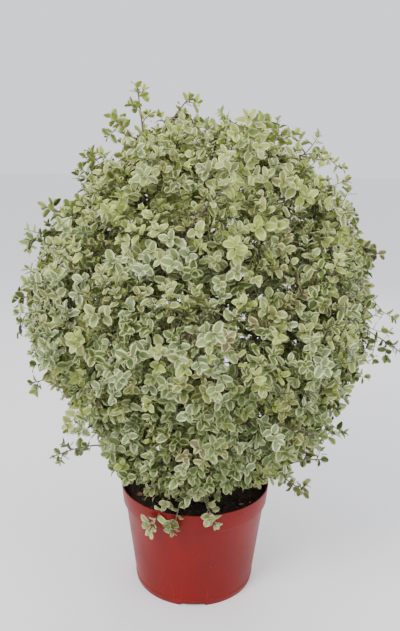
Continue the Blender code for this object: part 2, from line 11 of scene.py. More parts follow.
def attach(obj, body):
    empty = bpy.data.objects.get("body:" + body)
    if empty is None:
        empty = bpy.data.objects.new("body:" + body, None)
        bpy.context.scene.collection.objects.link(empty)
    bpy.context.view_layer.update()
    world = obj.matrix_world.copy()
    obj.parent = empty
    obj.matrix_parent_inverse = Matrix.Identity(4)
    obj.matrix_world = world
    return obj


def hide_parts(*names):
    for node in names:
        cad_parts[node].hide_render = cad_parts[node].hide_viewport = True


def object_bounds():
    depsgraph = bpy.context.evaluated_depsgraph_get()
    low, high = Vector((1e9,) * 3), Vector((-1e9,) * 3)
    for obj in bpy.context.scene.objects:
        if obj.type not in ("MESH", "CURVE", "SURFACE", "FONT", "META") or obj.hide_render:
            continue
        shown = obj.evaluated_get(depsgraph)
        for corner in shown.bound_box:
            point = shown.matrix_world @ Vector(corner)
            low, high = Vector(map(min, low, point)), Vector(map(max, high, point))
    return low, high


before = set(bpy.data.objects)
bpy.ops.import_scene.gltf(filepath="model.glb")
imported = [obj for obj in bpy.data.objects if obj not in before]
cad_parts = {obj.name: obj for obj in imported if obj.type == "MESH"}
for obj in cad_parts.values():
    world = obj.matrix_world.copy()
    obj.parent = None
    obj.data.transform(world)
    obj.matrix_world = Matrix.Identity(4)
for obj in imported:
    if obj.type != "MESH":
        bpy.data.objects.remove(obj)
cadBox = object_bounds()

up = Vector((0, 0, 1))
goldenAngle = math.pi * (3 - math.sqrt(5))


# Shader helpers


def plug(tree, socket, value):
    if isinstance(value, Channel):
        tree.links.new(value.socket, socket)
    elif socket.type == "RGBA" and len(value) == 3:
        socket.default_value = (*value, 1)
    else:
        socket.default_value = value


class Channel:
    def __init__(self, tree, socket):
        self.tree = tree
        self.socket = socket

    def combine(self, operation, first, second):
        made = self.tree.nodes.new("ShaderNodeMath")
        made.operation = operation
        plug(self.tree, made.inputs[0], first)
        plug(self.tree, made.inputs[1], second)
        return Channel(self.tree, made.outputs[0])

    def __add__(self, other):
        return self.combine("ADD", self, other)

    def __mul__(self, other):
        return self.combine("MULTIPLY", self, other)

    __radd__ = __add__
    __rmul__ = __mul__


class Finish:
    def __init__(self, name, roughness=0.6, **plain):
        self.material = bpy.data.materials.new(name)
        self.material.use_nodes = True
        self.tree = self.material.node_tree
        self.shader = self.tree.nodes["Principled BSDF"]
        self.set("Roughness", roughness)
        for socket, value in plain.items():
            self.set(socket.replace("_", " "), value)

    def set(self, socket, value):
        plug(self.tree, self.shader.inputs[socket], value)

    def node(self, kind, settings=None, sockets=None, output=0):
        made = self.tree.nodes.new(kind)
        for name, value in (settings or {}).items():
            if name == "stops":
                ramp = made.color_ramp.elements
                while len(ramp) < len(value):
                    ramp.new(0.5)
                for stop, (place, colour) in zip(ramp, value):
                    stop.position = place
                    stop.color = (*colour, 1)
            else:
                setattr(made, name, value)
        for name, value in (sockets or {}).items():
            plug(self.tree, made.inputs[name], value)
        return Channel(self.tree, made.outputs[output])

    def place(self):
        return self.node("ShaderNodeTexCoord", output=3)

    def noise(self, scale, detail=4, roughness=0.55, vector=None):
        sockets = {"Vector": vector or self.place(), "Scale": scale, "Detail": detail}
        sockets["Roughness"] = roughness
        return self.node("ShaderNodeTexNoise", sockets=sockets)

    def ramp(self, value, *stops):
        return self.node("ShaderNodeValToRGB", {"stops": stops}, {"Fac": value})

    def between(self, value, low, high, toLow=0.0, toHigh=1.0):
        sockets = {"Value": value, "From Min": low, "From Max": high}
        sockets.update({"To Min": toLow, "To Max": toHigh})
        return self.node("ShaderNodeMapRange", {"clamp": True}, sockets)

    def mix(self, share, first, second):
        sockets = {"Factor": share, "A": first, "B": second}
        return self.node("ShaderNodeMix", {"data_type": "RGBA"}, sockets, "Result")

    def bump(self, height, distance, strength=1.0):
        sockets = {"Height": height, "Distance": distance, "Strength": strength}
        self.set("Normal", self.node("ShaderNodeBump", sockets=sockets))


def addPiece(name, mesh, materials):
    piece = bpy.data.objects.new(name, mesh)
    for material in materials:
        mesh.materials.append(material)
    bpy.context.scene.collection.objects.link(piece)
    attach(piece, "root")
    return piece


def finishMesh(name, bm, smoothAngle=None):
    bmesh.ops.recalc_face_normals(bm, faces=bm.faces)
    mesh = bpy.data.meshes.new(name)
    bm.to_mesh(mesh)
    bm.free()
    mesh.shade_smooth()
    if smoothAngle is not None:
        mesh.set_sharp_from_angle(angle=math.radians(smoothAngle))
    return mesh


# Pot

pot = {
    "height": 0.220,
    "rimRadius": 0.1555,
    "baseRadius": 0.1245,
    "wall": 0.0022,
    "floor": 0.003,
    "collarHeight": 0.038,
    "collarDraft": 0.0035,
    "collarStep": 0.005,
    "footHeight": 0.012,
    "footStep": 0.001,
    "recess": 0.0006,  # under the base
    "recessRadii": (0.052, 0.054),
    "edge": 0.0007,  # rounding of every edge
    "roundAngle": 20,  # edges turning more than this are rounded
    "roundFrom": 0.06,
    "sharpAngle": 35,
    "segments": 144,
    "notches": 4,
    "notchWidth": 0.050,
    "notchDepth": 0.016,
    "notchHeight": 0.007,
    "notchEdge": 0.0012,
    "red": (0.185, 0.003, 0.002),
    "duller": (0.145, 0.005, 0.004),
    "dust": (0.42, 0.25, 0.20),
}
pot["collarBase"] = pot["height"] - pot["collarHeight"]


def collarRadius(height):
    return pot["rimRadius"] - pot["collarDraft"] * (pot["height"] - height) / pot["collarHeight"]


def wallRadius(height):
    top = collarRadius(pot["collarBase"]) - pot["collarStep"]
    return pot["baseRadius"] + (top - pot["baseRadius"]) * height / pot["collarBase"]


def potProfile():
    base, step, rim, foot = pot["collarBase"], pot["collarStep"], pot["height"], pot["footHeight"]
    wall, floor, recess = pot["wall"], pot["floor"], pot["recess"]
    recessEnd, ringStart = pot["recessRadii"]
    outer = [
        (0, recess),
        (recessEnd, recess),
        (ringStart, 0),
        (pot["baseRadius"], 0),
        (wallRadius(foot) + pot["footStep"], foot),
        (wallRadius(foot), foot + pot["footStep"]),
        (wallRadius(base), base - step / 2),
        (collarRadius(base), base),
        (collarRadius(rim), rim),
    ]
    inner = [
        (collarRadius(rim) - wall, rim),
        (collarRadius(base + step) - wall, base + step),
        (wallRadius(base) - wall, base),
        (wallRadius(floor) - wall, floor),
        (0, floor),
    ]
    return outer + inner


def spinProfile(profile, segments):
    bm = bmesh.new()
    points = [bm.verts.new((radius, 0, height)) for radius, height in profile]
    edges = [bm.edges.new(pair) for pair in zip(points, points[1:])]
    turning = {"cent": (0, 0, 0), "axis": up, "angle": math.tau, "steps": segments}
    bmesh.ops.spin(bm, geom=points + edges, use_merge=True, **turning)
    bmesh.ops.remove_doubles(bm, verts=bm.verts, dist=0.00001)
    bmesh.ops.recalc_face_normals(bm, faces=bm.faces)
    return bm


def roundEdges(bm, edges, offset, segments):
    how = {"affect": "EDGES", "profile": 0.5, "material": -1}
    bmesh.ops.bevel(bm, geom=edges, offset=offset, segments=segments, **how)


def cutNotches(mesh):
    bm = bmesh.new()
    for index in range(pot["notches"]):
        turn = Matrix.Rotation(math.tau * index / pot["notches"] - math.pi / 2, 4, "Z")
        size = (2 * pot["notchDepth"], pot["notchWidth"], 2 * pot["notchHeight"], 1)
        place = turn @ Matrix.Translation((pot["baseRadius"], 0, 0)) @ Matrix.Diagonal(size)
        block = bmesh.ops.create_cube(bm, size=1, matrix=place)
        edges = list({edge for vert in block["verts"] for edge in vert.link_edges})
        roundEdges(bm, edges, pot["notchEdge"], 2)
    cutter = bpy.data.objects.new("notchBlocks", finishMesh("notchBlocks", bm))
    body = bpy.data.objects.new("potBody", mesh)
    for made in (cutter, body):
        bpy.context.scene.collection.objects.link(made)
    cut = body.modifiers.new("notches", "BOOLEAN")
    cut.operation = "DIFFERENCE"
    cut.solver = "EXACT"
    cut.object = cutter
    graph = bpy.context.evaluated_depsgraph_get()
    notched = bpy.data.meshes.new_from_object(body.evaluated_get(graph))
    for made in (cutter, body):
        bpy.data.objects.remove(made, do_unlink=True)
    return notched


def potPlastic():
    finish = Finish("potPlastic", Specular_IOR_Level=0.22)
    place = finish.place()
    height = finish.node("ShaderNodeSeparateXYZ", sockets={"Vector": place}, output=2)
    patches = finish.between(finish.noise(9, 3, vector=place), 0.35, 0.68)
    colour = finish.mix(patches, pot["red"], pot["duller"])
    streaks = finish.node("ShaderNodeMapping", {}, {"Vector": place, "Scale": (26, 26, 3)})
    scuffs = finish.between(finish.noise(9, 6, 0.7, vector=streaks), 0.60, 0.78)
    low = finish.between(height, 0.004, 0.060, 1.0, 0.15)
    colour = finish.mix(scuffs * low * 0.45, colour, pot["dust"])
    specks = finish.between(finish.noise(260, 2, vector=place), 0.70, 0.80)
    colour = finish.mix(specks * 0.35, colour, pot["dust"])
    finish.set("Base Color", colour)
    finish.set("Roughness", 0.36 + patches * 0.10 + scuffs * 0.18)
    grain = finish.noise(900, 2, vector=place) * 0.4 + finish.noise(60, 2, vector=place)
    finish.bump(grain, 0.0002, 0.5)
    return finish.material


def makePot():
    bm = spinProfile(potProfile(), pot["segments"])
    rings = [
        edge
        for edge in bm.edges
        if len(edge.link_faces) == 2
        and edge.calc_face_angle() > math.radians(pot["roundAngle"])
        and abs(edge.verts[0].co.z - edge.verts[1].co.z) < 1e-5
        and edge.verts[0].co.xy.length > pot["roundFrom"]
    ]
    roundEdges(bm, rings, pot["edge"], 3)
    mesh = cutNotches(finishMesh("pot_body", bm))
    mesh.name = "pot_body"
    mesh.shade_smooth()
    mesh.set_sharp_from_angle(angle=math.radians(pot["sharpAngle"]))
    piece = addPiece("pot_body", mesh, [potPlastic()])
    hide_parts("pot")
    print("pot", len(mesh.polygons), "faces")


# Crown: the growth rule of the solids, from the same sizes

soilTop = 0.195
cadGap = 0.0003
Tier = namedtuple("Tier", "name count height share turn core carrier foot step root tip")
trunk = {
    "top": 0.285,
    "radius": 0.0145,
    "topRadius": 0.0135,
    "flare": 0.0075,
    "flareHeight": 0.012,
    "lean": (0.004, -0.003),
    "sides": 28,
    "stations": 22,
    "cadStations": (0, 0.07, 0.13, 0.4, 0.7, 1.0),
    "stationPower": 1.5,
    "sunk": 0.012,
    "footSwell": 1.05,
    "topShrink": 0.93,
}
trunk["height"] = trunk["top"] - soilTop - cadGap
crown = {
    "seed": 7,
    "outline": (  # height, reach to the left, reach to the right
        (0.200, 0.130, 0.135),
        (0.260, 0.170, 0.200),
        (0.340, 0.225, 0.270),
        (0.460, 0.290, 0.325),
        (0.580, 0.345, 0.355),
        (0.700, 0.325, 0.340),
        (0.800, 0.265, 0.295),
        (0.880, 0.185, 0.235),
        (0.940, 0.100, 0.150),
        (0.975, 0.000, 0.000),
    ),
    "depthLoss": 0.04,
    "lobe": 0.035,
    "lobes": 3,
    "lobeTwist": 9,
    "heart": Vector((0, 0, 0.40)),
    "turnJitter": 6,
    "heightJitter": 0.012,
    "cellMargin": 0.001,
    "cellEntry": 0.012,
    "entryShares": (0.30, 0.95, 66),  # from, to, how many are tried
    "tips": 104,
    "tipInset": (0.040, 0.080),
    "innerEvery": 7,
    "innerInset": (0.110, 0.170),
    "tipFrom": 0.235,
    "tipTo": 0.972,
    "skirtTips": 9,
    "skirtHeight": 0.300,
    "skirtShare": 0.86,
    "extraShoots": 12,
    "extraSpread": 52,
    "extraLow": 0.36,
    "extraHigh": 0.93,
    "extraReach": (0.010, 0.045),
}
tiers = (
    Tier("top", 3, 0.865, 0.44, 80, 0.66, "trunk", trunk["top"], 0, 0.0055, 0.0030),
    Tier("middle", 6, 0.585, 0.70, 20, 0.46, "trunk", 0.252, 0.016, 0.0046, 0.0028),
    Tier("low", 5, 0.290, 0.76, 262, 0.262, "trunk", 0.224, 0.008, 0.0038, 0.0026),
    Tier("high", 5, 0.735, 0.66, 52, 0.60, "top", 0.46, 0.12, 0.0036, 0.0026),
    Tier("side", 6, 0.420, 0.72, 50, 0.36, "middle", 0.24, 0.08, 0.0036, 0.0026),
)
# Tips that stand out of the crown: across, back and up
shootTips = (
    (-0.116, -0.010, 1.010),
    (-0.168, 0.020, 0.955),
    (-0.018, -0.020, 0.990),
    (0.047, 0.030, 0.955),
    (0.116, -0.015, 0.955),
    (0.160, 0.035, 0.930),
    (0.226, -0.010, 0.895),
    (-0.293, -0.020, 0.790),
    (-0.332, 0.015, 0.720),
    (-0.348, -0.030, 0.615),
    (-0.365, 0.010, 0.550),
    (-0.332, -0.020, 0.435),
    (-0.300, 0.010, 0.260),
    (0.280, 0.010, 0.795),
    (0.352, -0.015, 0.705),
    (0.412, 0.000, 0.505),
    (0.310, 0.015, 0.420),
    (0.265, -0.020, 0.275),
    (0.237, 0.010, 0.180),
    (-0.128, -0.125, 0.200),
    (-0.085, -0.158, 0.190),
    (-0.040, -0.172, 0.195),
    (0.040, -0.168, 0.210),
)
limb = {
    "leaderSpread": 0.0080,
    "pulls": (0.22, 0.26),
    "stations": (0.0, 0.03, 0.07, 0.13, 0.25, 0.375, 0.50, 0.625, 0.75, 0.875, 1.0),
    "cadStations": (0.0, 0.07, 0.25, 0.50, 0.75, 1.0),
    "swell": 0.35,
    "swellShare": 0.08,
    "sunk": 0.004,
    "thinning": 0.85,
    "sides": 12,
    "stemPast": 0.25,
    "stemClear": 0.0027,
    "stemBack": 0.2,
    "branchBack": 0.6,
    "branchFrom": 0.12,
    "branchTo": 0.97,
}
Limb = namedtuple("Limb", "name points radii first last")
Mass = namedtuple("Mass", "name site entry heading planes")


def reach(height, azimuth):
    heights, left, right = np.array(crown["outline"]).T
    toLeft = np.interp(height, heights, left)
    toRight = np.interp(height, heights, right)
    across = (toLeft + toRight) / 2 + (toRight - toLeft) / 2 * np.cos(azimuth)
    wave = np.sin(crown["lobes"] * azimuth + crown["lobeTwist"] * height)
    lobes = 1 + crown["lobe"] * wave * np.sin(azimuth) ** 2
    return across * (1 - crown["depthLoss"] * np.sin(azimuth) ** 2) * lobes


def onCrown(height, azimuth, share=1.0):
    distance = share * float(reach(height, azimuth))
    return Vector((distance * math.cos(azimuth), distance * math.sin(azimuth), height))


def outward(point):
    return (point - crown["heart"]).normalized()


def evenHeights(count, low, high):
    grid = np.linspace(low, high, 200)
    radius = reach(grid, math.pi / 2)
    band = radius * np.hypot(np.gradient(radius, grid), 1)
    total = np.cumsum(band)
    return np.interp((np.arange(count) + 0.5) / count * total[-1], total, grid)


def tierSites():
    draw = random.Random(crown["seed"])
    found = []
    for tier in tiers:
        for index in range(tier.count):
            turn = tier.turn + 360 * index / tier.count
            turn += draw.uniform(-crown["turnJitter"], crown["turnJitter"])
            height = tier.height + draw.uniform(-crown["heightJitter"], crown["heightJitter"])
            found.append((tier, index, onCrown(height, math.radians(turn), tier.share)))
    return found


def planesBetween(site, others):
    found = []
    for other in others:
        normal = (other - site).normalized()
        found.append((*normal, normal.dot((site + other) / 2) - crown["cellMargin"]))
    return np.array(found)


def inside(points, planes):
    return bool((np.asarray(points) @ planes[:, :3].T <= planes[:, 3]).all())


def entryTo(site, origin, planes):
    tight = planes - np.array((0, 0, 0, crown["cellEntry"]))
    for share in np.linspace(*crown["entryShares"]):
        point = origin.lerp(site, float(share))
        if inside([point], tight):
            return point
    return site


def makeMasses():
    sites = tierSites()
    masses = []
    for tier, index, site in sites:
        planes = planesBetween(site, [other for _, _, other in sites if other is not site])
        entry = entryTo(site, Vector((0, 0, tier.core)), planes)
        name = f"{tier.name}_{index + 1}"
        masses.append(Mass(name, site, entry, (site - entry).normalized(), planes))
    return sites, masses


def bezier(start, startPull, endPull, end, share):
    rest = 1 - share
    near = start * rest**3 + startPull * (3 * rest**2 * share)
    return near + endPull * (3 * rest * share**2) + end * share**3


def limbPath(start, first, mass, stations):
    chord = mass.entry - start
    last = (chord.normalized() + mass.heading).normalized()
    pulls = [chord.length * pull for pull in limb["pulls"]]
    handles = (start + first * pulls[0], mass.entry - last * pulls[1])
    return [bezier(start, *handles, mass.entry, share) for share in stations], last


def alongLimb(points, radii, share):
    lengths = [(b - a).length for a, b in zip(points, points[1:])]
    left = share * sum(lengths)
    for index, length in enumerate(lengths):
        if left <= length or index == len(lengths) - 1:
            break
        left -= length
    part = min(left / length, 1)
    a, b = points[index : index + 2]
    radius = radii[index] + (radii[index + 1] - radii[index]) * part
    return a.lerp(b, part), (b - a).normalized(), radius


def limbRadii(tier, stations):
    gain = tier.root - tier.tip
    return [tier.tip + gain * (1 - share) ** limb["thinning"] for share in stations]


def trunkPoint(rise):
    foot = soilTop + cadGap
    lean = Vector((*trunk["lean"], 0))
    return Vector((0, 0, foot + rise)) + lean * (rise / trunk["height"]) ** 2


def trunkRadius(rise):
    flare = trunk["flare"] * max(0, 1 - rise / trunk["flareHeight"]) ** 2
    taper = (trunk["topRadius"] - trunk["radius"]) * rise / trunk["height"]
    return trunk["radius"] + taper + flare


def carrierOf(tier, mass, index, made):
    foot = tier.foot + tier.step * (index % 2)
    if tier.carrier == "trunk":
        rises = [share * trunk["height"] for share in trunk["cadStations"]]
        points = [trunkPoint(rise) for rise in rises]
        share = (foot - points[0].z) / (trunk["top"] - points[0].z)
        return alongLimb(points, [trunkRadius(rise) for rise in rises], share)
    flat = mass.site.to_2d()
    near = max(
        (bough for bough in made if tier.carrier in bough.name),
        key=lambda bough: flat.dot(bough.points[-1].to_2d().normalized()),
    )
    return alongLimb(near.coarse, near.coarseRadii, foot)


class Bough:
    # coarse holds the solid's own stations, from which the next boughs start
    def __init__(self, name, tier, mass, start, first):
        self.name = name
        self.first = first
        self.coarse, self.last = limbPath(start, first, mass, limb["cadStations"])
        self.points, _ = limbPath(start, first, mass, limb["stations"])
        self.coarseRadii = limbRadii(tier, limb["cadStations"])
        self.radii = limbRadii(tier, limb["stations"])


def makeBoughs(sites, masses):
    made = []
    for (tier, index, _), mass in zip(sites, masses):
        if tier.name == "top":
            toward = Vector((mass.site.x, mass.site.y, 0)).normalized()
            start = trunkPoint(trunk["height"]) + toward * limb["leaderSpread"] + up * cadGap
            bough = Bough(mass.name, tier, mass, start, up)
        else:
            point, along, radius = carrierOf(tier, mass, index, made)
            out = mass.entry - point
            out = (out - along * out.dot(along)).normalized()
            bough = Bough(mass.name, tier, mass, point + out * (radius + cadGap), out)
        made.append(bough)
    return made


def stemOf(mass, bough):
    start = bough.points[-1]
    end = mass.site + mass.heading * (mass.site - start).length * limb["stemPast"]
    while not inside([end], mass.planes - np.array((0, 0, 0, limb["stemClear"]))):
        end = end.lerp(mass.site, limb["stemBack"])
    return start, end


def twigRoot(start, end, tip):
    axis = (end - start).normalized()
    along = (tip - start).dot(axis)
    away = (tip - start - axis * along).length
    length = (end - start).length
    place = along - away * limb["branchBack"]
    return start + axis * min(max(place, length * limb["branchFrom"]), length * limb["branchTo"])


def standingShoots():
    draw = random.Random(crown["seed"] + 1)
    tips = [Vector(tip) for tip in shootTips]
    for index in range(crown["extraShoots"]):
        side = -1 if index % 2 else 1
        turn = side * (90 + draw.uniform(-crown["extraSpread"], crown["extraSpread"]))
        span = crown["extraHigh"] - crown["extraLow"]
        height = crown["extraLow"] + span * (index + 0.5) / crown["extraShoots"]
        edge = onCrown(height, math.radians(turn))
        tips.append(edge + outward(edge) * draw.uniform(*crown["extraReach"]))
    return tips


def crownTips():
    draw = random.Random(crown["seed"] + 2)
    tips = []
    for index, height in enumerate(evenHeights(crown["tips"], crown["tipFrom"], crown["tipTo"])):
        edge = onCrown(float(height), index * goldenAngle)
        inset = crown["innerInset"] if index % crown["innerEvery"] == 0 else crown["tipInset"]
        tips.append(edge - outward(edge) * draw.uniform(*inset))
    for index in range(crown["skirtTips"]):
        turn = math.tau * (index + 0.5) / crown["skirtTips"]
        tips.append(onCrown(crown["skirtHeight"], turn, crown["skirtShare"]))
    return tips


# Trunk and boughs, with the bark's relief

bark = {
    "relief": 0.0007,
    "trunkRelief": 0.00112,
    "reliefScale": 170,
    "grain": 0.45,  # stretches the relief along the limbs
    "fractal": (0.9, 2.2, 3),
    "ridges": 7,
    "ridgeDepth": 0.0011,
    "ridgeTwist": 30,
    "rootHeight": 0.035,
    "rootDepth": 2.5,
    "dark": (0.035, 0.026, 0.022),
    "light": (0.135, 0.105, 0.088),
    "lichen": (0.20, 0.20, 0.16),
}


def barkFinish():
    finish = Finish("bark", Specular_IOR_Level=0.3)
    place = finish.place()
    stretched = finish.node("ShaderNodeMapping", {}, {"Vector": place, "Scale": (1, 1, 0.35)})
    furrows = finish.noise(420, 6, 0.65, vector=stretched)
    patches = finish.between(finish.noise(45, 3, vector=place), 0.42, 0.62)
    colour = finish.ramp(furrows, (0.30, bark["dark"]), (0.62, bark["light"]))
    finish.set("Base Color", finish.mix(patches * 0.25, colour, bark["lichen"]))
    finish.set("Roughness", finish.between(furrows, 0.3, 0.7, 0.95, 0.75))
    finish.bump(furrows, 0.0006, 0.8)
    return finish.material


def ringFrames(points, first, last):
    side = first.orthogonal().normalized()
    frames = []
    for index, point in enumerate(points):
        if index == 0:
            along = first
        elif index == len(points) - 1:
            along = last
        else:
            along = (points[index + 1] - points[index - 1]).normalized()
        side = (side - along * side.dot(along)).normalized()
        turned = Matrix((side, along.cross(side), along)).transposed().to_4x4()
        frames.append(Matrix.Translation(point) @ turned)
    return frames


def addTube(bm, points, radii, sides, first, last):
    rings = []
    for place, radius in zip(ringFrames(points, first, last), radii):
        ring = bmesh.ops.create_circle(bm, radius=radius, segments=sides, matrix=place)["verts"]
        rings.append(ring)
    for lower, upper in zip(rings, rings[1:]):
        own = set(lower + upper)
        near = {edge for vert in own for edge in vert.link_edges if set(edge.verts) <= own}
        rims = [edge for edge in near if edge.is_boundary or edge.is_wire]
        bmesh.ops.bridge_loops(bm, edges=rims)
    for ring in (rings[0], rings[-1]):
        around = {edge for vert in ring for edge in vert.link_edges if set(edge.verts) <= set(ring)}
        cap = bmesh.ops.contextual_create(bm, geom=list(around))
        bmesh.ops.poke(bm, faces=cap["faces"])
    return rings


def roughen(bm, scale, depth):
    bm.normal_update()
    moves = []
    for vert in bm.verts:
        place = Vector((vert.co.x, vert.co.y, vert.co.z * bark["grain"])) * scale
        moves.append(vert.normal * depth * noise.fractal(place, *bark["fractal"]))
    for vert, move in zip(bm.verts, moves):
        vert.co += move


def makeTrunk(material):
    last = trunk["stations"] - 1
    shares = [(index / last) ** trunk["stationPower"] for index in range(last + 1)]
    points = [trunkPoint(share * trunk["height"]) for share in shares]
    radii = [trunkRadius(share * trunk["height"]) for share in shares]
    points.insert(0, points[0] - up * trunk["sunk"])
    radii.insert(0, radii[0] * trunk["footSwell"])
    radii[-1] *= trunk["topShrink"]
    bm = bmesh.new()
    addTube(bm, points, radii, trunk["sides"], up, up)
    for vert in bm.verts:
        turn = math.atan2(vert.co.y, vert.co.x)
        foot = max(0, 1 - (vert.co.z - soilTop) / bark["rootHeight"])
        wave = math.sin(bark["ridges"] * turn + bark["ridgeTwist"] * vert.co.z)
        ridge = bark["ridgeDepth"] * (1 + bark["rootDepth"] * foot) * wave
        out = Vector((math.cos(turn), math.sin(turn), 0))
        vert.co += out * ridge * min(1, vert.co.xy.length / trunk["radius"])
    roughen(bm, bark["reliefScale"], bark["trunkRelief"])
    piece = addPiece("trunk_bark", finishMesh("trunk_bark", bm), [material])
    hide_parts("trunk")
    print("trunk", len(piece.data.polygons), "faces")


def makeBoughMesh(boughs, material):
    bm = bmesh.new()
    near = [max(0, 1 - share / limb["swellShare"]) for share in limb["stations"]]
    for bough in boughs:
        radii = [radius * (1 + limb["swell"] * more) for radius, more in zip(bough.radii, near)]
        points = [bough.points[0] - bough.first * limb["sunk"], *bough.points]
        addTube(bm, points, [radii[0], *radii], limb["sides"], bough.first, bough.last)
    roughen(bm, bark["reliefScale"], bark["relief"])
    piece = addPiece("bough_bark", finishMesh("bough_bark", bm), [material])
    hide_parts(*[f"bough_{bough.name}" for bough in boughs])
    print("boughs", len(boughs), "limbs", len(piece.data.polygons), "faces")


# Twigs and fine shoots, joined from arrays

twig = {
    "stemRadii": (0.0029, 0.0020),
    "twigRadii": (0.0019, 0.0011),
    "shootRadii": (0.0011, 0.0005),
    "bow": 0.06,
    "stations": 7,
    "sides": 5,
    "shootSides": 4,
    "shootStations": 5,
    "shells": (  # tips, inset from, to
        (1480, 0.002, 0.028),
        (900, 0.032, 0.072),
        (480, 0.080, 0.140),
        (480, 0.140, 0.210),
        (140, 0.220, 0.280),
    ),
    "from": 0.238,
    "to": 0.975,
    "hills": 0.027,
    "hillScale": 8.5,
    "hillFractal": (0.8, 2.1, 2),
    "turnJitter": 0.05,
    "shellTurn": 40,
    "sprigs": 130,
    "sprigTurn": 1.7,
    "sprigHeights": (0.34, 0.955),
    "sprigReach": (0.004, 0.030),
    "sideSprigs": 5,  # round each tip that stands out
    "sideBack": (0.010, 0.022),
    "sideOut": 0.017,
    "longest": 0.190,
    "shortest": 0.020,
    "turnCost": 1.3,
    "startParts": (0.33, 0.66, 1.0),
    "lastWay": (1.2, 0.6, 0.35),  # straight on, out of the crown and up
    "handles": (0.35, 0.30),
    "bark": (0.085, 0.060, 0.052),
    "young": (0.13, 0.085, 0.055),
}


def twigFinish():
    finish = Finish("twigBark", 0.6)
    tone = finish.between(finish.noise(38, 3), 0.35, 0.65)
    finish.set("Base Color", finish.mix(tone, twig["bark"], twig["young"]))
    return finish.material


def hitsPot(points, margin=0.002):
    points = np.asarray(points)
    radius = np.hypot(points[..., 0], points[..., 1])
    height = points[..., 2]
    inner = wallRadius(pot["collarBase"]) - pot["wall"]
    inWall = (height < pot["height"] + margin) & (radius > inner - margin)
    inWall &= radius < pot["rimRadius"] + margin
    inSoil = (height < soilTop + margin) & (radius < pot["rimRadius"])
    return inWall | inSoil


def bowed(start, end, stations, bow):
    # a straight twig's own ends, with its middle lifted
    lift = up * (end - start).length * bow
    return [start.lerp(end, s) + lift * math.sin(math.pi * s) for s in np.linspace(0, 1, stations)]


def mainTwigs(masses, boughs):
    stems = [stemOf(mass, bough) for mass, bough in zip(masses, boughs)]
    paths, shoots = [], []
    for kind, tips in (("shoot", standingShoots()), ("tip", crownTips())):
        for tip in tips:
            owner = min(range(len(masses)), key=lambda index: (masses[index].site - tip).length)
            root = twigRoot(*stems[owner], tip)
            path = bowed(root, tip, twig["stations"], twig["bow"])
            if hitsPot(path[1:]).any():
                continue
            (shoots if kind == "shoot" else paths).append(path)
    return stems, shoots, paths


def hills(point):
    return noise.fractal(point * twig["hillScale"], *twig["hillFractal"])


def fineTips():
    draw = random.Random(crown["seed"] + 5)
    tips = []
    for count, low, high in twig["shells"]:
        for index, height in enumerate(evenHeights(count, twig["from"], twig["to"])):
            jitter = draw.uniform(-twig["turnJitter"], twig["turnJitter"])
            turn = index * goldenAngle + jitter + low * twig["shellTurn"]
            edge = onCrown(float(height), turn)
            inset = draw.uniform(low, high) + twig["hills"] * (0.5 - hills(edge))
            tips.append(edge - outward(edge) * inset)
    for index in range(twig["sprigs"]):
        turn = index * goldenAngle * twig["sprigTurn"]
        edge = onCrown(draw.uniform(*twig["sprigHeights"]), turn)
        tips.append(edge + outward(edge) * draw.uniform(*twig["sprigReach"]))
    first, step = twig["sideBack"]
    for tip in standingShoots():
        along = outward(tip)
        for index in range(twig["sideSprigs"]):
            side = Matrix.Rotation(index * goldenAngle, 3, along) @ along.orthogonal().normalized()
            tips.append(tip - along * (first + step * index) + side * twig["sideOut"])
    return tips


def fineShoots(paths):
    # each fine tip grows from the nearest twig that points its way
    starts, ways = [], []
    for path in paths:
        for index in range(1, len(path)):
            way = (path[index] - path[index - 1]).normalized()
            for part in twig["startParts"]:
                starts.append(path[index - 1].lerp(path[index], part))
                ways.append(way)
    starts, ways = np.array(starts), np.array(ways)
    shoots = []
    onward, out, lift = twig["lastWay"]
    startHandle, endHandle = twig["handles"]
    for tip in fineTips():
        apart = np.array(tip) - starts
        length = np.linalg.norm(apart, axis=1)
        cosine = (apart * ways).sum(axis=1) / length
        cost = length * (1 + twig["turnCost"] * (1 - cosine)) + (length < twig["shortest"]) * 1.0
        best = int(cost.argmin())
        if length[best] > twig["longest"]:
            continue
        start, way = Vector(starts[best]), Vector(ways[best])
        span = length[best]
        first = (way + (tip - start) / span).normalized()
        last = ((tip - start) / span * onward + outward(tip) * out + up * lift).normalized()
        handles = (start + first * span * startHandle, tip - last * span * endHandle)
        path = [bezier(start, *handles, tip, s) for s in np.linspace(0, 1, twig["shootStations"])]
        if not hitsPot(path[1:]).any():
            shoots.append(path)
    return shoots


def tubeArrays(paths, radii, sides):
    # vertices and faces of many tapering tubes with the same count of stations
    points = np.array(paths)
    count, stations = points.shape[:2]
    along = np.gradient(points, axis=1)
    along /= np.linalg.norm(along, axis=2, keepdims=True)
    chord = points[:, -1] - points[:, 0]
    away = np.eye(3)[np.abs(chord).argmin(axis=1)]
    side = np.cross(along, away[:, None, :])
    side /= np.linalg.norm(side, axis=2, keepdims=True)
    other = np.cross(along, side)
    turn = np.arange(sides) * math.tau / sides
    cosine, sine = np.cos(turn)[:, None], np.sin(turn)[:, None]
    ring = side[:, :, None, :] * cosine + other[:, :, None, :] * sine
    thick = np.linspace(radii[0], radii[1], stations)
    verts = points[:, :, None, :] + ring * thick[None, :, None, None]
    base = np.arange(count)[:, None, None] * stations * sides
    lower = base + np.arange(stations - 1)[None, :, None] * sides
    here = np.arange(sides)[None, None, :]
    there = (here + 1) % sides
    corners = (lower + here, lower + there, lower + sides + there, lower + sides + here)
    quads = np.stack(corners, axis=-1)
    around, end = here[0, 0], (stations - 1) * sides
    caps = np.concatenate([base[:, 0] + around[::-1], base[:, 0] + end + around])
    return verts.reshape(-1, 3), quads.reshape(-1, 4), caps


